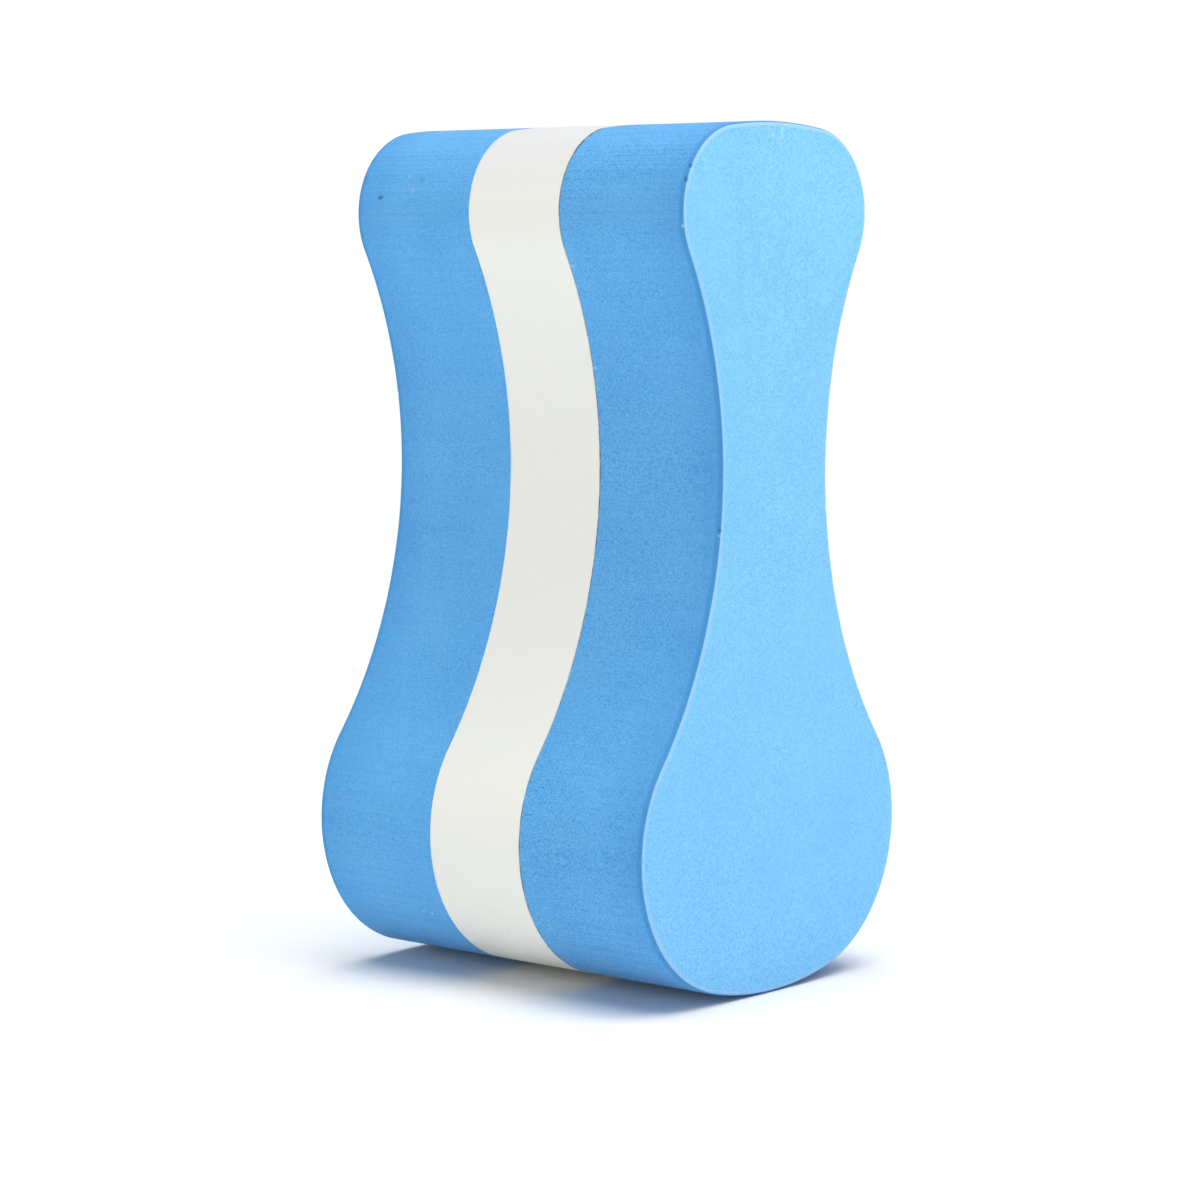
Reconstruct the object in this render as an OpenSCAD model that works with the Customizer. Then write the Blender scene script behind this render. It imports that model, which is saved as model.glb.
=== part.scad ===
// Pull buoy: a figure-of-eight swimming float, laminated from three slabs of closed-cell foam.
// Millimetres. X runs across the layers, Y through the thickness and Z along the length.
// It stands on its big end, and the origin is under the middle of it.

/* [Overall size] */
// Overall length, along Z
body_l = 220; // [205:1:240]
// Width across the three layers, along X
body_w = 110; // [90:1:140]
// Thickness of the big end, along Y
big_end = 105; // [98:1:115]
// Thickness of the small end, along Y
small_end = 75; // [66:1:84]
// Thickness at the waist, along Y
waist = 43; // [34:1:52]

/* [Outline] */
// Radius of the big end at its sides
big_r = 37.5; // [34:0.5:40]
// Radius of the crown under the big end
big_crown_r = 95; // [85:1:300]
// Radius of the small end at its corners
small_r = 21.5; // [18:0.5:26]
// Radius of the crown over the small end
small_crown_r = 150; // [90:1:500]

/* [Layers] */
// Thickness of the centre layer
centre_w = 30; // [20:1:50]
// Thickness of each glue film
film_w = 0.2; // [0.1:0.05:0.5]
// Rounding of the edge round each outer face
rim_r = 1.25; // [0.5:0.25:4]

/* [Colours] */
// The two outer foam layers
outer_colour = "LightSkyBlue";
// The centre foam layer
centre_colour = "Ivory";
// The glue films
film_colour = "Tan";

/* [Hidden] */
$fn = 180;

outer_w = (body_w - centre_w) / 2 - film_w;  // each outer layer
film_x = centre_w / 2;                       // inner face of each film
outer_x = film_x + film_w;                   // inner face of each outer layer

// The outline is a chain of arcs: a crown under the big end, a corner at each side of it, a waist,
// the small end's corners and a crown over them. Points are [y, z]. Each arc runs into the next
// almost at a tangent: the corners stand proud of a true tangent by lap, so that they cross.
lap = 0.12;
big_t = big_r - lap;
small_t = small_r - lap;

// Height of a corner's centre in from the top of a crown that touches it from outside
function drop(crown, r, y) = crown - sqrt(pow(crown - r, 2) - y * y);
big_y = big_end / 2 - big_r;
small_y = small_end / 2 - small_r;
big_c = [big_y, drop(big_crown_r, big_t, big_y)];
small_c = [small_y, body_l - drop(small_crown_r, small_t, small_y)];
big_crown_c = [0, big_crown_r];
small_crown_c = [0, body_l - small_crown_r];

// The waist arc has to touch both corners and still leave the waist thickness. With a and b the
// steps out from the waist to the two ends, the height from the big corner's centre up to the waist
// is the root of a quadratic, u * u - 2 * p * u + q = 0.
a = (big_end - waist) / 2 - lap;
b = (small_end - waist) / 2 - lap;
rise = small_c[1] - big_c[1];
p = a * rise / (a - b);
q = a * (rise * rise - b * (a - b - 2 * big_t + 2 * small_t)) / (a - b);
waist_up = p - sqrt(p * p - q);
waist_r = (waist_up * waist_up / a + a) / 2 - big_t;
waist_c = [waist / 2 + waist_r, big_c[1] + waist_up];

// The point at distance d from one centre, on the line towards another
function toward(from, to, d) = from + d * (to - from) / norm(to - from);
function flip(v) = [-v[0], v[1]];

// Where the line from one centre through another reaches height z
function out_to(from, to, z) = from + (to - from) * (z - from[1]) / (to[1] - from[1]);

// Half of the core that joins the corners. Its sides follow the lines of centres, out past both
// crowns by clear and up to the waist arc.
clear = 3;
core = [
    out_to(big_crown_c, big_c, -clear),
    toward(big_c, big_crown_c, -big_r / 3),
    toward(big_c, waist_c, big_r / 3),
    toward(big_c, waist_c, big_t),
    toward(small_c, waist_c, small_t),
    toward(small_c, waist_c, small_r / 3),
    toward(small_c, small_crown_c, -small_r / 3),
    out_to(small_crown_c, small_c, body_l + clear)
];
reach = 1.2 * body_l;  // a block this long covers everything past a corner's centre

// A quarter disc in the first quadrant
module quarter(r) {
    intersection() {
        circle(r);
        square(r);
    }
}

// A drum of radius r and length w about c, with its far edge rounded by rim
module drum(c, r, w, rim) {
    translate(c) rotate_extrude() {
        square([r - rim, w]);
        if (rim > 0) {
            translate([r - rim, 0]) square([rim, w - rim]);
            translate([r - rim, w - rim]) quarter(rim);
        }
    }
}

// What a hollow of radius r takes out of a layer w thick, flared by rim at the far face
module flare(c, r, w, rim) {
    translate([c[0], c[1], -clear]) rotate_extrude() difference() {
        square([r + rim, w + 2 * clear]);
        if (rim > 0) translate([r, 0]) {
            square([rim, w + clear - rim]);
            translate([rim, w + clear - rim]) mirror([1, 0]) quarter(rim);
        }
    }
}

// One layer of the float, w thick, lying on the XY plane with its far edge rounded by rim. The corner
// drums are joined by a straight-sided core, trimmed by a crown drum at each end, and hollowed.
module layer(w, rim) {
    difference() {
        intersection() {
            union() {
                linear_extrude(w)
                    polygon(concat(core, [for (i = [len(core) - 1 : -1 : 0]) flip(core[i])]));
                for (side = [0, 1]) mirror([side, 0]) {
                    drum(big_c, big_r, w, rim);
                    drum(small_c, small_r, w, rim);
                }
            }
            union() {
                drum(big_crown_c, big_crown_r, w, rim);
                translate([-reach / 2, big_c[1] + big_r / 5]) cube([reach, reach, w]);
            }
            union() {
                drum(small_crown_c, small_crown_r, w, rim);
                translate([-reach / 2, small_c[1] - small_r / 5 - reach]) cube([reach, reach, w]);
            }
        }
        for (side = [0, 1]) mirror([side, 0]) flare(waist_c, waist_r, w, rim);
    }
}

// Stands a layer up with its near face at x and its far face further out
module stand(x) {
    translate([x, 0, 0]) rotate([90, 0, 90]) children();
}

module left_foam_slab() {
    color(outer_colour) mirror([1, 0, 0]) stand(outer_x) layer(outer_w, rim_r);
}

module left_glue_film() {
    color(film_colour) mirror([1, 0, 0]) stand(film_x) layer(film_w, 0);
}

module centre_foam_slab() {
    color(centre_colour) stand(-centre_w / 2) layer(centre_w, 0);
}

module right_glue_film() {
    color(film_colour) stand(film_x) layer(film_w, 0);
}

module right_foam_slab() {
    color(outer_colour) stand(outer_x) layer(outer_w, rim_r);
}

left_foam_slab();
left_glue_film();
centre_foam_slab();
right_glue_film();
right_foam_slab();
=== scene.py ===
"""A pull buoy: three slabs of closed-cell foam, bonded side by side and cut to one outline.

Lengths are in metres unless a name says mm. X runs across the layers, Y through the thickness, Z up.
"""

import math

import bmesh
import bpy
import numpy as np
from mathutils import Matrix, Vector


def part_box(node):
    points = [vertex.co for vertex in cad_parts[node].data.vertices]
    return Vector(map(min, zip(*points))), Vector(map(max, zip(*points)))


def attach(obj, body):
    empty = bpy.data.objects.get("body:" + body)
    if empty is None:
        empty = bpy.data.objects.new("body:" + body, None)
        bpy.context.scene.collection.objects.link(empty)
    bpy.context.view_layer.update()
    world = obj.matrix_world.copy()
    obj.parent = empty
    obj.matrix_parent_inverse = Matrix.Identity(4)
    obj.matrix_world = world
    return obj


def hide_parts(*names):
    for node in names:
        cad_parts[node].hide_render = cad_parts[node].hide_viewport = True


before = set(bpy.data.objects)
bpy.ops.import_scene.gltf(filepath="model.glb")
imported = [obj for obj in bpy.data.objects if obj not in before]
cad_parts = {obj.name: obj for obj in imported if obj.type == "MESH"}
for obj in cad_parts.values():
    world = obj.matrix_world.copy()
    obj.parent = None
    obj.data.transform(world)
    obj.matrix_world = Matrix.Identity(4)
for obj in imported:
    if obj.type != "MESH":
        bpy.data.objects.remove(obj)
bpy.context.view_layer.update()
MM = 0.001
scene = bpy.context.scene


# --- Camera ---------------------------------------------------------------------------------------
AZIMUTH, ELEVATION, ROLL = 40.24, 5.56, 0.12  # degrees
AIM = Vector((0.0, 0.0, 0.110))  # the middle of the float
DISTANCE, SHIFT_LEFT, SHIFT_DOWN = 0.9042, 0.0023, 0.0132
LENS, SENSOR = 103.5, 36.0  # mm


def place_camera():
    """A long lens, in front of the float's right, a little above its middle."""
    turn, rise, roll = math.radians(AZIMUTH), math.radians(ELEVATION), math.radians(ROLL)
    back = Vector((math.sin(turn) * math.cos(rise), -math.cos(turn) * math.cos(rise), math.sin(rise)))
    right = Vector((math.cos(turn), math.sin(turn), 0.0))
    up = back.cross(right)
    across = right * math.cos(roll) + up * math.sin(roll)
    upward = up * math.cos(roll) - right * math.sin(roll)
    place = AIM + back * DISTANCE - across * SHIFT_LEFT - upward * SHIFT_DOWN
    data = bpy.data.cameras.new("camera")
    data.sensor_width = SENSOR
    data.lens = LENS
    data.clip_end = 100.0
    camera = bpy.data.objects.new("camera", data)
    camera.matrix_world = Matrix.Translation(place) @ Matrix((across, upward, back)).transposed().to_4x4()
    scene.collection.objects.link(camera)
    scene.camera = camera


place_camera()

# --- Outline --------------------------------------------------------------------------------------
# The same sizes as the CAD model, in mm
LENGTH, BIG, SMALL, WAIST = 220.0, 105.0, 75.0, 43.0
BIG_R, BIG_CROWN_R, SMALL_R, SMALL_CROWN_R = 37.5, 95.0, 21.5, 150.0
RIM_R = 1.25


def arcs_of_half():
    """The arcs of half the outline, from the bottom up.

    Each is a centre [y, z], a radius, and 1 for a bulge or -1 for a hollow.
    """
    big_y, small_y = BIG / 2 - BIG_R, SMALL / 2 - SMALL_R
    big_z = BIG_CROWN_R - math.sqrt((BIG_CROWN_R - BIG_R) ** 2 - big_y**2)
    small_z = LENGTH - SMALL_CROWN_R + math.sqrt((SMALL_CROWN_R - SMALL_R) ** 2 - small_y**2)
    # the waist touches both corners, as in the CAD model
    a, b, rise = (BIG - WAIST) / 2, (SMALL - WAIST) / 2, small_z - big_z
    p = a * rise / (a - b)
    q = a * (rise**2 - b * (a - b - 2 * BIG_R + 2 * SMALL_R)) / (a - b)
    up = p - math.sqrt(p * p - q)
    waist_r = (up * up / a + a) / 2 - BIG_R
    return [
        (np.array([0.0, BIG_CROWN_R]), BIG_CROWN_R, 1),
        (np.array([big_y, big_z]), BIG_R, 1),
        (np.array([WAIST / 2 + waist_r, big_z + up]), waist_r, -1),
        (np.array([small_y, small_z]), SMALL_R, 1),
        (np.array([0.0, LENGTH - SMALL_CROWN_R]), SMALL_CROWN_R, 1),
    ]


def half_outline(count):
    """Half the outline, evenly spaced from the bottom to the top: points, outward normals, length."""
    arcs = arcs_of_half()
    joints = [np.array([0.0, 0.0])]
    for first, second in zip(arcs, arcs[1:]):
        # two arcs meet on the line through their centres
        (c, r, bulge), (other, _, other_bulge) = sorted((first, second), key=lambda arc: arc[1])
        away = (c - other) * bulge * other_bulge
        joints.append(c + r * away / np.linalg.norm(away))
    joints.append(np.array([0.0, LENGTH]))
    spans = []
    for (c, r, _), start, end in zip(arcs, joints, joints[1:]):
        a0, a1 = (math.atan2(*(p - c)[::-1]) for p in (start, end))
        while a1 - a0 > math.pi:
            a1 -= 2 * math.pi
        while a1 - a0 < -math.pi:
            a1 += 2 * math.pi
        spans.append((c, r, a0, a1, r * abs(a1 - a0)))
    total = sum(span[4] for span in spans)
    points, normals = [], []
    for s in np.linspace(0.0, total, count + 1):
        left = s
        for c, r, a0, a1, length in spans:
            if left <= length + 1e-9:
                break
            left -= length
        angle = a0 + (a1 - a0) * min(left / length, 1.0)
        direction = np.array([math.cos(angle), math.sin(angle)])
        points.append(c + r * direction)
        normals.append(direction * (1 if a1 > a0 else -1))
    points, normals = np.array(points), np.array(normals)
    points[0], points[-1] = (0.0, 0.0), (0.0, LENGTH)
    normals[0], normals[-1] = (0.0, -1.0), (0.0, 1.0)
    return points, normals, total


HALF = 584  # steps along half the outline, about half a millimetre each
half_points, half_normals, HALF_LENGTH = half_outline(HALF)
AROUND = 2 * HALF_LENGTH
FLIP = np.array([-1.0, 1.0])
LOOP = np.vstack([half_points, (half_points * FLIP)[-2:0:-1]])
LOOP_NORMALS = np.vstack([half_normals, (half_normals * FLIP)[-2:0:-1]])
LOOP_S = np.arange(len(LOOP)) * HALF_LENGTH / HALF  # length along the loop, in mm


# --- Relief ---------------------------------------------------------------------------------------
X_OFFSET, Y_OFFSET = 100.0, 200.0  # these keep the noise's coordinates above zero, in mm


def wave_table(seed, size):
    return np.random.default_rng(seed).uniform(-1.0, 1.0, size)


def smooth(t):
    return t * t * (3 - 2 * t)


def noise_1d(s, pitch, seed):
    """Smooth noise along the outline, between -1 and 1, that joins up all the way round."""
    cells = round(AROUND / pitch)
    table = wave_table(seed, cells)
    t = s / (AROUND / cells)
    i = np.floor(t).astype(int)
    f = smooth(t - i)
    return table[i % cells] * (1 - f) + table[(i + 1) % cells] * f


def noise_2d(u, v, pitch, seed, period=None):
    """Smooth noise over u and v, between -1 and 1. It repeats after period along u, if given."""
    rows, cells = 256, round(period / pitch) if period else 512
    table = wave_table(seed, (rows, cells))
    a, b = u / (period / cells if period else pitch), v / pitch
    i, j = np.floor(a).astype(int), np.floor(b).astype(int)
    f, g = smooth(a - i), smooth(b - j)
    i0, i1, j0, j1 = i % cells, (i + 1) % cells, j % rows, (j + 1) % rows
    low = table[j0, i0] * (1 - f) + table[j0, i1] * f
    high = table[j1, i0] * (1 - f) + table[j1, i1] * f
    return low * (1 - g) + high * g


def cut_relief(s, x):
    """How far the sawn side stands out, in mm, at length s round the outline and x across it.

    The wire leaves fine ridges straight across all three layers, and wanders a little.
    """
    strength = 0.55 + 0.45 * noise_1d(s, 34.0, 11)
    # the wire drags most round the two ends
    ends = 0.6 + 0.6 * np.clip(np.abs(np.cos(math.pi * s / HALF_LENGTH)) * 1.6 - 0.7, 0, 1)
    ridges = 0.6 * noise_1d(s, 1.7, 12) + 0.4 * noise_1d(s, 0.9, 13)
    fade = 0.75 + 0.25 * noise_2d(s, x, 9.0, 14, AROUND)
    wander = 0.08 * noise_1d(s, 23.0, 15) + 0.04 * noise_2d(s, x, 26.0, 16, AROUND)
    grain = 0.016 * noise_2d(s, x, 1.6, 17, AROUND)
    return 0.022 * strength * ends * fade * ridges + wander + grain - 0.03


def skin_relief(y, z, seed):
    """How far an end face stands out, in mm: rolled sheet skin, nearly flat."""
    broad = 0.07 * noise_2d(y + Y_OFFSET, z, 31.0, seed)
    small = 0.03 * noise_2d(y + Y_OFFSET, z, 9.0, seed + 1)
    return broad + small - 0.05


# Marks of use and handling: which side (-1 front, 1 back), x, z, radius and depth, in mm, and the
# tone, from 1 for dark, painted shade in the dent, to -1 for pale, a rubbed scuff
SIDE_MARKS = [
    (-1, -46.8, 201.6, 0.64, 0.6, 1.1),
    (-1, -38.0, 207.0, 1.1, 0.04, -0.3),
    (-1, -35.5, 203.5, 1.4, 0.04, -0.26),
    (-1, -33.0, 206.0, 0.8, 0.06, 0.4),
    (-1, -36.0, 196.0, 1.2, 0.04, -0.24),
    (-1, -24.5, 17.5, 0.5, 0.04, -0.75),
    (-1, -21.4, 17.2, 0.4, 0.04, -0.6),
    (-1, -42.0, 34.0, 0.5, 0.2, 0.5),
    (-1, 4.0, 16.0, 0.5, 0.15, 0.35),
    (-1, 27.0, 54.0, 0.5, 0.2, 0.4),
    (-1, 35.0, 176.0, 0.45, 0.2, 0.5),
    (-1, 15.7, 184.0, 0.50, 0.05, -0.7),
    (-1, 15.7, 158.4, 0.50, 0.05, -0.7),
    (-1, 15.7, 153.2, 0.45, 0.05, -0.6),
    (-1, 15.7, 96.0, 0.45, 0.10, 0.6),
    (1, 28.0, 177.0, 0.8, 0.5, 0.8),
    (1, -33.0, 64.0, 0.6, 0.4, 0.6),
    (1, 8.0, 120.0, 0.5, 0.2, 0.3),
    (1, -21.0, 199.0, 0.5, 0.3, 0.5),
    (1, -40.0, 30.0, 0.7, 0.05, -0.6),
]
# The same on the two end faces: which face (-1 left, 1 right), y, z, radius, depth and tone
FACE_MARKS = [
    (1, -3.9, 217.8, 0.8, 0.08, -0.34),
    (1, -2.3, 216.7, 0.8, 0.10, -0.42),
    (1, -0.9, 217.5, 0.7, 0.14, 0.26),
    (1, -0.4, 215.7, 0.8, 0.10, -0.36),
    (1, 1.5, 217.9, 0.9, 0.08, -0.46),
    (1, 1.6, 216.2, 0.8, 0.10, -0.42),
    (1, 1.1, 214.4, 0.8, 0.08, -0.34),
    (1, 1.5, 62.0, 0.5, 0.35, 0.5),
    (1, -11.0, 102.0, 0.4, 0.15, 0.3),
    (-1, 12.0, 44.0, 0.7, 0.35, 0.6),
    (-1, -9.0, 181.0, 0.6, 0.3, 0.5),
    (-1, 22.0, 28.0, 1.1, 0.12, -0.5),
]
# Nicks in the rims of the end faces: which face, which side, z, size, depth and tone
RIM_NICKS = [
    (1, -1, 208.4, 0.55, 0.45, 0.7),
    (1, -1, 205.0, 0.75, 0.50, 0.75),
    (1, -1, 193.6, 0.5, 0.15, -0.6),
    (1, -1, 119.0, 0.8, 0.30, 0.7),
    (1, -1, 117.9, 0.5, 0.12, -0.6),
    (1, -1, 24.0, 0.6, 0.20, 0.4),
    (1, 1, 168.0, 0.5, 0.10, 0.4),
    (-1, -1, 150.0, 0.5, 0.10, 0.4),
    (-1, 1, 78.0, 0.9, 0.35, 0.7),
    (-1, 1, 201.0, 0.8, 0.30, 0.5),
]


def spot(a, b, u, v, size):
    """A soft round spot at (u, v), 1 in the middle."""
    return np.exp(-((((a - u) ** 2 + (b - v) ** 2) / size**2) ** 1.5))


# --- Meshes ---------------------------------------------------------------------------------------
RIM_STEPS = 8  # rings round the rounding of an end face
CHIP_STEPS = 3  # rings round a chipped edge
RING_GAP = 0.9  # between rings on the side, in mm
EDGE_GAP = 0.6  # from a sharp edge to the next ring, in mm
COLUMNS = 50  # across an end face
RAGGED_LEFT, RAGGED_RIGHT = 0.3, 1.0  # how deep the edges are chipped on each side
CUT, SKIN, RIM_HIGHLIGHT = 0, 1, 2  # material slots of a slab
COUNT = len(LOOP)
SIDE = np.where(LOOP[:, 0] > 0, 1, -1)  # 1 at the back, -1 in front


class Shell:
    """The faces of a slab as they are added, each with its material and its place in the UV map."""

    def __init__(self):
        self.faces, self.kinds, self.uvs = [], [], []

    def add(self, corners, kind, uv):
        self.faces.append(corners)
        self.kinds.append(kind)
        self.uvs.extend(uv)

    def build(self, name, points, tones):
        mesh = bpy.data.meshes.new(name)
        mesh.from_pydata((points * MM).tolist(), [], self.faces)
        wear_and_pit_shade = mesh.attributes.new("wear_and_pit_shade", "FLOAT", "POINT")
        wear_and_pit_shade.data.foreach_set("value", tones.astype(np.float32))
        layer = mesh.uv_layers.new(name="cut")
        layer.data.foreach_set("uv", (np.array(self.uvs) * MM).ravel())
        mesh.polygons.foreach_set("material_index", self.kinds)
        mesh.polygons.foreach_set("use_smooth", [True] * len(self.faces))
        mesh.update()
        piece = bpy.data.objects.new(name, mesh)
        scene.collection.objects.link(piece)
        return piece


def without_repeats(corners):
    """The corners of a cell, each once, where the cell may close to a triangle."""
    return tuple(dict.fromkeys(corners))


def ring(offset, x, relief):
    """One ring of the side, in mm: the outline moved in by offset, at x, with its relief."""
    yz = LOOP + LOOP_NORMALS * (relief - offset)[:, None]
    return np.column_stack([np.broadcast_to(x, COUNT), yz])


def marks_at(x):
    """Depth and tone of the marks on the ring at x."""
    depth, tone = np.zeros(COUNT), np.zeros(COUNT)
    for where, mark_x, mark_z, size, deep, dark in SIDE_MARKS:
        near = (SIDE == where) * spot(x, LOOP[:, 1], mark_x, mark_z, size)
        depth += deep * near
        tone += dark * near
    return depth, tone


def side_relief(x):
    """How far the side stands out on the ring at x, with its marks, in mm."""
    return cut_relief(LOOP_S, np.full(COUNT, x + X_OFFSET)) - marks_at(x)[0]


def chipped_edge(x_edge, inward, seed, outwards):
    """Rings and tones round a sharp edge at x_edge, from the joint face out to the side, or back."""
    chip = 0.10 + 0.20 * np.clip(noise_1d(LOOP_S, 1.3, seed), 0, 1) ** 2
    chip += 0.34 * np.clip(noise_1d(LOOP_S, 3.7, seed + 1) - 0.45, 0, 1)
    chip *= RAGGED_RIGHT if x_edge > 0 else RAGGED_LEFT
    relief = side_relief(x_edge)
    turns = [math.pi / 2 * k / CHIP_STEPS for k in range(CHIP_STEPS + 1)]
    for t in turns if outwards else turns[::-1]:
        x = x_edge + inward * chip * (1 - math.cos(t))
        yield ring(chip * (1 - math.sin(t)), x, relief), np.zeros(COUNT)


def rounded_edge(x_edge, x_far, way, rounding, seed):
    """Rings and tones round the edge of an end face, from x_edge to the face at x_far."""
    rim = rounding + 0.12 * noise_1d(LOOP_S, 17.0, seed + 5)
    nick, nick_tone = np.zeros(COUNT), np.zeros(COUNT)
    for face, where, mark_z, size, deep, dark in RIM_NICKS:
        if face == way:
            near = (SIDE == where) * spot(0.0, LOOP[:, 1], 0.0, mark_z, size)
            nick += deep * near
            nick_tone += dark * near
    relief = side_relief(x_edge)
    face_relief = skin_relief(*(LOOP - LOOP_NORMALS * rounding).T, seed + 7)
    for k in range(1, RIM_STEPS + 1):
        t = math.pi / 2 * k / RIM_STEPS
        worn = nick * math.sin(2 * t)
        x = x_far - way * (rim * (1 - math.sin(t)) + (worn - face_relief) * math.sin(t))
        yield ring(rim * (1 - math.cos(t)), x, (relief - worn) * math.cos(t)), nick_tone * math.cos(t)


def side_faces(shell, rings, x_seam, rounded):
    """Joins the rings. The last half of a rounded edge belongs to the skin of the end face and takes the
    paler rim colour, a painted highlight.
    """
    along = np.append(LOOP_S, AROUND)
    across = [abs(float(np.mean(points[:, 0])) - x_seam) for points in rings]
    skin_from = len(rings) - 1 - RIM_STEPS // 2 if rounded else len(rings)
    for i in range(len(rings) - 1):
        low, high = i * COUNT, (i + 1) * COUNT
        v0, v1 = across[i], across[i + 1]
        for k in range(COUNT):
            m = (k + 1) % COUNT
            u0, u1 = along[k], along[k + 1]
            shell.add(
                (low + k, low + m, high + m, high + k),
                RIM_HIGHLIGHT if i >= skin_from else CUT,
                [(u0, v0), (u1, v0), (u1, v1), (u0, v1)],
            )


def joint_face(shell, start):
    """Closes a joint face, straight across between the outline's front and back."""
    for k in range(HALF):
        here, there = start + k, start + k + 1
        mirror_here, mirror_there = start + (COUNT - k) % COUNT, start + COUNT - k - 1
        corners = without_repeats((here, mirror_here, mirror_there, there))
        shell.add(corners, CUT, [(0.0, 0.0)] * len(corners))


def end_face(shell, edge_ring, edge, x_far, way, seed):
    """Fills an end face with rows of cells, inside its edge ring, which starts at point edge.

    Returns the points it adds and their tones.
    """
    rows, inner = [[edge] * (COLUMNS + 1)], []
    for k in range(1, HALF):
        back, front = edge_ring[k][1:], edge_ring[COUNT - k][1:]
        first = edge + COUNT + len(inner)
        inner += [front + (back - front) * (c / COLUMNS) for c in range(1, COLUMNS)]
        rows.append([edge + COUNT - k, *range(first, first + COLUMNS - 1), edge + k])
    rows.append([edge + HALF] * (COLUMNS + 1))
    y, z = np.array(inner).T
    height, tone = skin_relief(y, z, seed + 7), np.zeros(len(y))
    for face, mark_y, mark_z, size, deep, dark in FACE_MARKS:
        if face == way:
            near = spot(y, z, mark_y, mark_z, size)
            height -= deep * near
            tone += dark * near
    flat = np.vstack([edge_ring[:, 1:], inner])
    for low, high in zip(rows, rows[1:]):
        for c in range(COLUMNS):
            corners = without_repeats((low[c], low[c + 1], high[c + 1], high[c]))
            shell.add(corners, SKIN, [tuple(flat[corner - edge]) for corner in corners])
    return np.column_stack([x_far + way * height, y, z]), tone


def slab(name, x_seam, x_far, rounding, seed):
    """A foam slab from x_seam to x_far, in mm.

    rounding is that of the far edge. A sharp edge keeps the faint chipped corner that the wire
    leaves in foam.
    """
    way = 1 if x_far > x_seam else -1
    stop = x_far - way * rounding
    first = x_seam + way * EDGE_GAP
    last = stop - way * (0.0 if rounding else EDGE_GAP)
    made = list(chipped_edge(x_seam, way, seed, True))
    for x in np.linspace(first, last, round(abs(last - first) / RING_GAP)):
        made.append((ring(np.zeros(COUNT), x, side_relief(x)), marks_at(x)[1]))
    if rounding:
        made += rounded_edge(stop, x_far, way, rounding, seed)
    else:
        made += chipped_edge(x_far, -way, seed + 2, False)
    rings, tones = [list(column) for column in zip(*made)]

    shell = Shell()
    side_faces(shell, rings, x_seam, rounding > 0)
    joint_face(shell, 0)
    edge = (len(rings) - 1) * COUNT
    if rounding:
        points, tone = end_face(shell, rings[-1], edge, x_far, way, seed)
        rings.append(points)
        tones.append(tone)
    else:
        joint_face(shell, edge)
    return shell.build(name, np.vstack(rings), np.concatenate(tones))


def tidy_normals(piece):
    """Points every face outwards and keeps the corners of the joint faces crisp."""
    bm = bmesh.new()
    bm.from_mesh(piece.data)
    bmesh.ops.recalc_face_normals(bm, faces=bm.faces)
    for edge in bm.edges:
        edge.smooth = edge.calc_face_angle(0.0) < math.radians(50)
    bm.to_mesh(piece.data)
    bm.free()


# --- Materials ------------------------------------------------------------------------------------
def shade(name):
    material = bpy.data.materials.new(name)
    material.use_nodes = True
    nodes = material.node_tree.nodes
    nodes.clear()
    out = nodes.new("ShaderNodeOutputMaterial")
    shader = nodes.new("ShaderNodeBsdfPrincipled")
    material.node_tree.links.new(shader.outputs["BSDF"], out.inputs["Surface"])
    return material, shader


class Graph:
    """Shorthand for a material's nodes."""

    def __init__(self, material):
        self.tree = material.node_tree

    def node(self, kind, **values):
        made = self.tree.nodes.new(kind)
        for key, value in values.items():
            setattr(made, key, value)
        return made

    def link(self, start, end):
        self.tree.links.new(start, end)

    def noise(self, vector, scale, detail=2.0, roughness=0.5):
        made = self.node("ShaderNodeTexNoise")
        made.inputs["Scale"].default_value = scale
        made.inputs["Detail"].default_value = detail
        made.inputs["Roughness"].default_value = roughness
        self.link(vector, made.inputs["Vector"])
        return made.outputs["Fac"]

    def stretch(self, vector, scale):
        made = self.node("ShaderNodeMapping")
        made.inputs["Scale"].default_value = scale
        self.link(vector, made.inputs["Vector"])
        return made.outputs["Vector"]

    def ramp(self, value, low, high, to_low=0.0, to_high=1.0):
        made = self.node("ShaderNodeMapRange")
        limits = {"From Min": low, "From Max": high, "To Min": to_low, "To Max": to_high}
        for key, number in limits.items():
            made.inputs[key].default_value = number
        self.link(value, made.inputs["Value"])
        return made.outputs["Result"]

    def math(self, kind, a, b):
        made = self.node("ShaderNodeMath", operation=kind)
        for socket, value in zip(made.inputs, (a, b)):
            if isinstance(value, (int, float)):
                socket.default_value = value
            else:
                self.link(value, socket)
        return made.outputs["Value"]

    def mix(self, factor, a, b):
        made = self.node("ShaderNodeMix", data_type="RGBA")
        for index, value in ((0, factor), (6, a), (7, b)):
            if isinstance(value, (int, float)):
                made.inputs[index].default_value = value
            elif isinstance(value, tuple):
                made.inputs[index].default_value = (*value, 1.0)
            else:
                self.link(value, made.inputs[index])
        return made.outputs[2]

    def bump(self, height, strength, distance, below=None):
        made = self.node("ShaderNodeBump")
        made.inputs["Strength"].default_value = strength
        made.inputs["Distance"].default_value = distance
        self.link(height, made.inputs["Height"])
        if below is not None:
            self.link(below, made.inputs["Normal"])
        return made.outputs["Normal"]


MIDDLE_Z = 0.115  # the height at which the cut lines are faintest
SIDE_END = 0.0386  # from an outer slab's seam to the rounding of its far edge
# painted shade: the top of the white slab is darkened between these heights
TOP_FROM, TOP_TO = 0.2015, 0.2145  # heights between which the top turns dull


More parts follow.
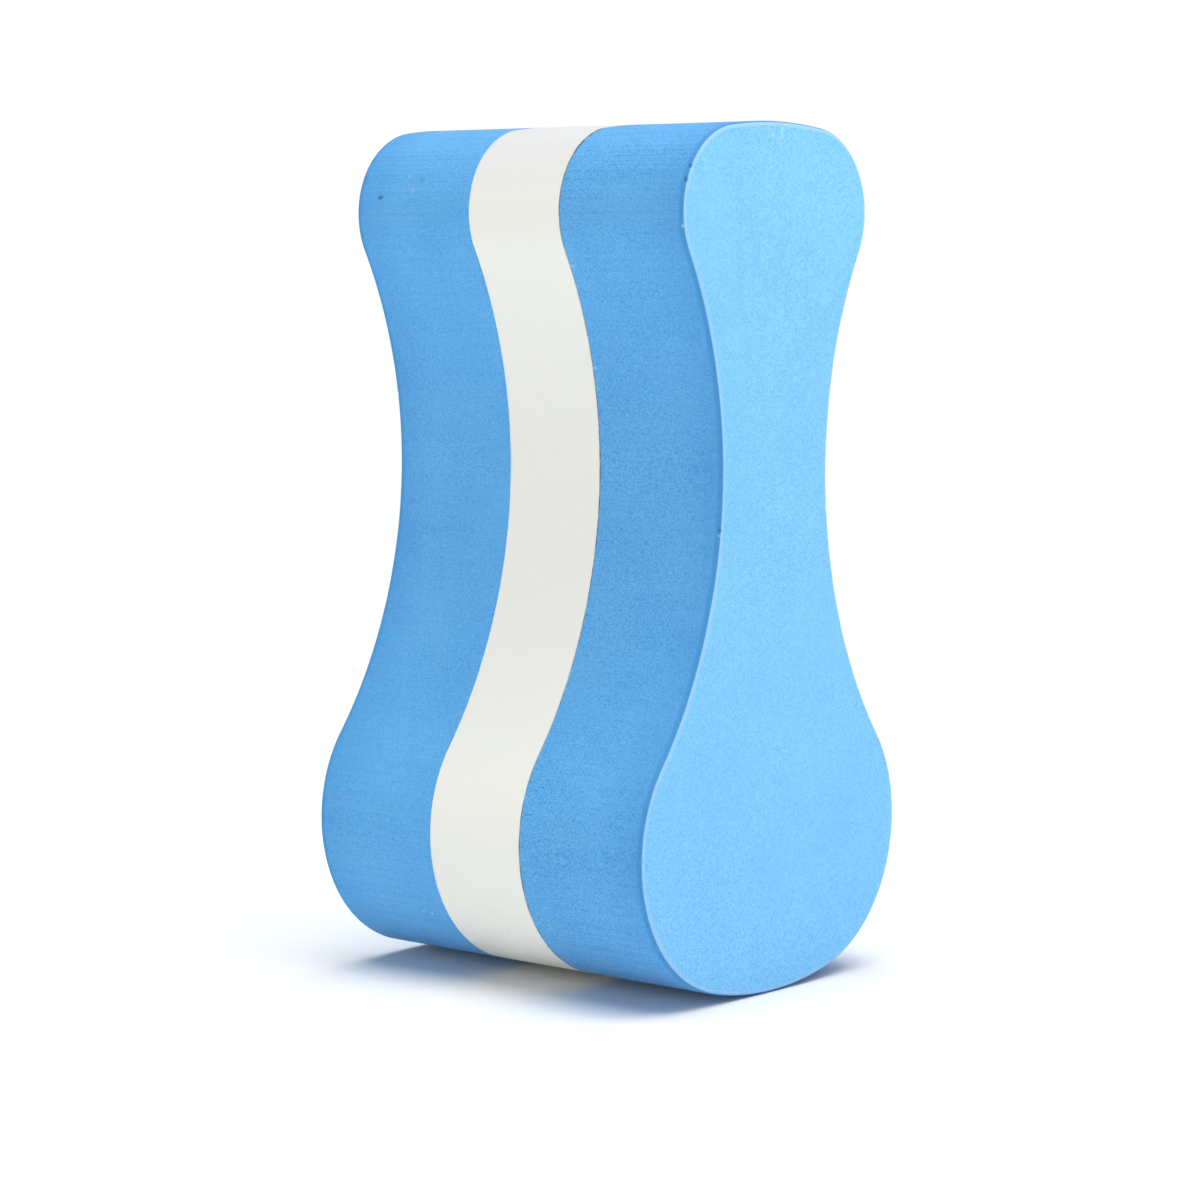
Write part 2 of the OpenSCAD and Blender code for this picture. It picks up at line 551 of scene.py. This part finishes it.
def foam(name, base, dark, pale, speckle, streak, roughness, bumps, painted_edge_shade=False, gloss=0.2, top=None):
    """Closed-cell foam.

    base, dark and pale are linear colours. speckle and streak say how much the cells and the cut
    lines show, bumps how rough the cells are, and painted_edge_shade darkens the strip beside an end face
    with painted shade.
    top is a darker colour painted over the top of the small end as shade, so that it doesn't bleach
    out under the light from overhead.
    """
    material, shader = shade(name)
    g = Graph(material)
    place = g.node("ShaderNodeTexCoord").outputs["Object"]
    layout = g.node("ShaderNodeUVMap", uv_map="cut").outputs["UV"]
    wear_and_pit_shade = g.node("ShaderNodeAttribute", attribute_name="wear_and_pit_shade").outputs["Fac"]

    cells = g.node("ShaderNodeTexVoronoi", feature="F1")
    cells.inputs["Scale"].default_value = 2100.0
    g.link(place, cells.inputs["Vector"])
    pits = g.ramp(cells.outputs["Distance"], 0.15, 0.75)
    fine = g.noise(place, 2300.0, 1.0, 0.6)
    grain = g.noise(place, 900.0, 2.0, 0.6)
    cloud = g.noise(place, 42.0, 3.0, 0.55)
    # the cells show more in some places than in others
    spread = g.math("MULTIPLY", g.ramp(g.noise(place, 24.0, 2.0, 0.5), 0.35, 0.65, 0.65, 1.0), speckle)

    colour = g.mix(g.ramp(cloud, 0.30, 0.75, 0.0, 0.5), base, pale)
    colour = g.mix(g.math("MULTIPLY", g.ramp(fine, 0.48, 0.68), spread), colour, dark)
    colour = g.mix(g.math("MULTIPLY", g.ramp(fine, 0.52, 0.32), spread), colour, pale)
    coarse = g.math("MULTIPLY", spread, 0.22)
    colour = g.mix(g.math("MULTIPLY", g.ramp(grain, 0.45, 0.75), coarse), colour, dark)
    normal = g.bump(g.noise(place, 1900.0, 3.0, 0.65), bumps, 0.00025)
    normal = g.bump(pits, bumps * 0.7, 0.00015, normal)
    if streak:
        axes = g.node("ShaderNodeSeparateXYZ")
        g.link(place, axes.inputs["Vector"])
        off_middle = g.math("ABSOLUTE", g.math("SUBTRACT", axes.outputs["Z"], MIDDLE_Z), 0.0)
        ends = g.math("MULTIPLY", g.ramp(off_middle, 0.064, 0.102, 0.30, 1.0), streak)
        lines = g.noise(g.stretch(layout, (1750.0, 20.0, 1.0)), 1.0, 1.0, 0.6)
        broad = g.noise(g.stretch(layout, (420.0, 9.0, 1.0)), 1.0, 2.0, 0.5)
        colour = g.mix(g.math("MULTIPLY", g.ramp(lines, 0.48, 0.72), ends), colour, dark)
        colour = g.mix(g.math("MULTIPLY", g.ramp(lines, 0.50, 0.26), ends), colour, pale)
        colour = g.mix(g.math("MULTIPLY", g.ramp(broad, 0.50, 0.80), streak * 0.35), colour, pale)
        normal = g.bump(lines, bumps * 0.7, 0.00015, normal)
        if top:
            # painted shade: the top darkens against the light from overhead
            colour = g.mix(g.ramp(axes.outputs["Z"], TOP_FROM, TOP_TO), colour, top)
    if painted_edge_shade:
        # painted shade: the cut side darkens in a strip beside the end face
        across = g.node("ShaderNodeSeparateXYZ")
        g.link(layout, across.inputs["Vector"])
        wide = g.ramp(across.outputs["Y"], SIDE_END - 0.0126, SIDE_END + 0.0002, 0.0, 0.30)
        close = g.ramp(across.outputs["Y"], SIDE_END - 0.0010, SIDE_END, 0.0, 0.45)
        colour = g.mix(g.math("ADD", wide, close), colour, dark)
    # marks: painted shade in the pits and nicks, and pale scuffs where the surface is rubbed up
    pit_shade_colour = tuple(0.3 * c for c in dark)
    scuff_colour = tuple(0.4 * c + 0.6 * 0.85 for c in pale)
    colour = g.mix(g.ramp(wear_and_pit_shade, 0.15, 0.80, 0.0, 0.85), colour, pit_shade_colour)
    colour = g.mix(g.ramp(wear_and_pit_shade, -0.15, -0.80, 0.0, 0.75), colour, scuff_colour)
    g.link(colour, shader.inputs["Base Color"])

    g.link(g.ramp(grain, 0.3, 0.7, roughness - 0.06, roughness + 0.06), shader.inputs["Roughness"])
    g.link(normal, shader.inputs["Normal"])
    shader.inputs["Specular IOR Level"].default_value = gloss
    shader.inputs["Sheen Weight"].default_value = 0.10
    shader.inputs["Sheen Roughness"].default_value = 0.35
    return material


# Linear colours: base, dark and pale
CUT_BLUES = (0.098, 0.375, 0.745), (0.050, 0.245, 0.560), (0.155, 0.465, 0.830)
# the skin blues are paler than the cut blues of the same foam: a painted sheen on the end faces
SHEEN_PAINTED_SKIN_BLUES = (0.194, 0.550, 0.925), (0.135, 0.430, 0.830), (0.255, 0.640, 0.955)
# the rim blues are paler than the skin blues: a painted highlight along the rounded edges
RIM_HIGHLIGHT_BLUES = (0.290, 0.560, 0.895), (0.210, 0.475, 0.835), (0.365, 0.640, 0.920)
CUT_WHITES = (0.792, 0.798, 0.745), (0.755, 0.762, 0.705), (0.812, 0.818, 0.770)
# painted shade for the top of the white slab, greyer than its foam
PAINTED_TOP_SHADE_WHITE = (0.655, 0.660, 0.668)

BLUE_CUT = foam(
    "blue_foam_cut", *CUT_BLUES, speckle=0.80, streak=0.31, roughness=0.86, bumps=0.50, painted_edge_shade=True
)
BLUE_CUT_LEFT = foam(
    "blue_foam_cut_left", *CUT_BLUES, speckle=0.55, streak=0.27, roughness=0.86, bumps=0.40, painted_edge_shade=True
)
# painted sheen: the end faces' skin is a paler blue than the cut foam
BLUE_SKIN_PAINTED_SHEEN = foam(
    "blue_foam_skin_painted_sheen", *SHEEN_PAINTED_SKIN_BLUES, speckle=0.90, streak=0.0, roughness=0.66, bumps=0.30, gloss=0.28
)
# painted highlight: the rounded rims of the end faces get a paler blue
BLUE_RIM_HIGHLIGHT = foam(
    "blue_foam_rim_painted_highlight", *RIM_HIGHLIGHT_BLUES, speckle=0.50, streak=0.0, roughness=0.66, bumps=0.25, gloss=0.28
)
WHITE_CUT = foam(
    "white_foam_cut", *CUT_WHITES, speckle=0.18, streak=0.08, roughness=0.82, bumps=0.14, top=PAINTED_TOP_SHADE_WHITE
)


def glue(name, base, blotched, dark):
    """Dried adhesive, blotched in a second colour and flecked in a third."""
    material, shader = shade(name)
    g = Graph(material)
    place = g.node("ShaderNodeTexCoord").outputs["Object"]
    blotch = g.noise(place, 260.0, 3.0, 0.6)
    fine = g.noise(place, 1800.0, 2.0, 0.6)
    colour = g.mix(g.ramp(blotch, 0.42, 0.58), base, blotched)
    colour = g.mix(g.math("MULTIPLY", g.ramp(fine, 0.4, 0.7), 0.5), colour, dark)
    g.link(colour, shader.inputs["Base Color"])
    g.link(g.ramp(blotch, 0.3, 0.7, 0.42, 0.62), shader.inputs["Roughness"])
    g.link(g.bump(fine, 0.4, 0.0001), shader.inputs["Normal"])
    return material


PALE_BLUES = (0.780, 0.820, 0.880), (0.620, 0.720, 0.840), (0.560, 0.640, 0.740)
DARK_BROWNS = (0.170, 0.150, 0.130), (0.420, 0.420, 0.420), (0.090, 0.085, 0.080)
PALE_GLUE = glue("dried_glue_pale", *PALE_BLUES)
DARK_GLUE = glue("dried_glue_dark", *DARK_BROWNS)


# --- Pieces ---------------------------------------------------------------------------------------
def span(node):
    """Where a node starts and ends across the layers, in mm."""
    low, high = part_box(node)
    return low[0] / MM, high[0] / MM


left_low, left_high = span("left_foam_slab")
centre_low, centre_high = span("centre_foam_slab")
right_low, right_high = span("right_foam_slab")

for node, near, far, rounding, seed, coats in (
    ("right_foam_slab", right_low, right_high, RIM_R, 101, (BLUE_CUT, BLUE_SKIN_PAINTED_SHEEN, BLUE_RIM_HIGHLIGHT)),
    ("left_foam_slab", left_high, left_low, RIM_R, 201, (BLUE_CUT_LEFT, BLUE_SKIN_PAINTED_SHEEN, BLUE_RIM_HIGHLIGHT)),
    ("centre_foam_slab", centre_low, centre_high, 0.0, 301, (WHITE_CUT,)),
):
    piece = slab(node.replace("_slab", ""), near, far, rounding, seed)
    for coat in coats:
        piece.data.materials.append(coat)
    tidy_normals(piece)
    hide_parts(node)
    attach(piece, "root")

for node, coat in (("left_glue_film", PALE_GLUE), ("right_glue_film", DARK_GLUE)):
    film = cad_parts[node]
    film.data.materials.clear()
    film.data.materials.append(coat)


# --- Studio ---------------------------------------------------------------------------------------
def floor():
    """A pale paper floor, just under the float."""
    bpy.ops.mesh.primitive_plane_add(size=30.0, location=(0.0, 0.0, -0.0002))
    plane = bpy.context.object
    plane.name = "studio_floor"
    material, shader = shade("paper_floor")
    g = Graph(material)
    place = g.node("ShaderNodeTexCoord").outputs["Object"]
    grain = g.noise(place, 900.0, 2.0, 0.6)
    colour = g.mix(g.ramp(grain, 0.3, 0.7), (0.945,) * 3, (0.965,) * 3)
    g.link(colour, shader.inputs["Base Color"])
    shader.inputs["Roughness"].default_value = 0.9
    shader.inputs["Specular IOR Level"].default_value = 0.1
    plane.data.materials.append(material)


def direction(azimuth, elevation):
    """A unit vector out from the float. Azimuth is 0 in front and 90 to the right, in degrees."""
    turn, rise = math.radians(azimuth), math.radians(elevation)
    return Vector((math.sin(turn) * math.cos(rise), -math.cos(turn) * math.cos(rise), math.sin(rise)))


def light(name, kind, azimuth, elevation, distance, aim_z, energy):
    """A lamp that shines from a direction at the point aim_z up the float's axis."""
    way = direction(azimuth, elevation)
    data = bpy.data.lights.new(name, kind)
    data.energy = energy
    made = bpy.data.objects.new(name, data)
    made.location = Vector((0.0, 0.0, aim_z)) + way * distance
    made.rotation_euler = way.to_track_quat("Z", "Y").to_euler()
    scene.collection.objects.link(made)
    return data


def softbox(name, azimuth, elevation, distance, aim_z, size, power):
    """A soft square lamp, aimed at a height on the float's axis."""
    data = light(name, "AREA", azimuth, elevation, distance, aim_z, power)
    data.shape = "SQUARE"
    data.size = size


def overhead(strength, spread):
    """Broad light straight down, the same all over the floor, spread over an angle in degrees."""
    data = light("overhead", "SUN", 0.0, 90.0, distance=2.0, aim_z=0.0, energy=strength)
    data.angle = math.radians(spread)


def sky():
    """Soft light all round, brightest in a band at the horizon, as in a white studio."""
    world = bpy.data.worlds.new("studio")
    scene.world = world
    world.use_nodes = True
    nodes, links = world.node_tree.nodes, world.node_tree.links
    nodes.clear()
    out = nodes.new("ShaderNodeOutputWorld")
    back = nodes.new("ShaderNodeBackground")
    place = nodes.new("ShaderNodeTexCoord")
    split = nodes.new("ShaderNodeSeparateXYZ")
    ramp = nodes.new("ShaderNodeMapRange")
    ramp.interpolation_type = "SMOOTHSTEP"
    for key, number in (("From Min", 0.12), ("From Max", 0.36), ("To Min", 1.02), ("To Max", 0.12)):
        ramp.inputs[key].default_value = number
    links.new(place.outputs["Generated"], split.inputs["Vector"])
    links.new(split.outputs["Z"], ramp.inputs["Value"])
    links.new(ramp.outputs["Result"], back.inputs["Strength"])
    back.inputs["Color"].default_value = (1.0, 1.0, 1.0, 1.0)
    links.new(back.outputs["Background"], out.inputs["Surface"])


floor()
overhead(strength=2.82, spread=60.0)
softbox("key", azimuth=106.0, elevation=38.0, distance=0.45, aim_z=0.20, size=0.4, power=0.95)
softbox("front", azimuth=-5.0, elevation=14.0, distance=1.1, aim_z=0.12, size=0.7, power=2.0)
sky()
scene.view_settings.view_transform = "Standard"
scene.view_settings.look = "None"

bpy.context.view_layer.update()
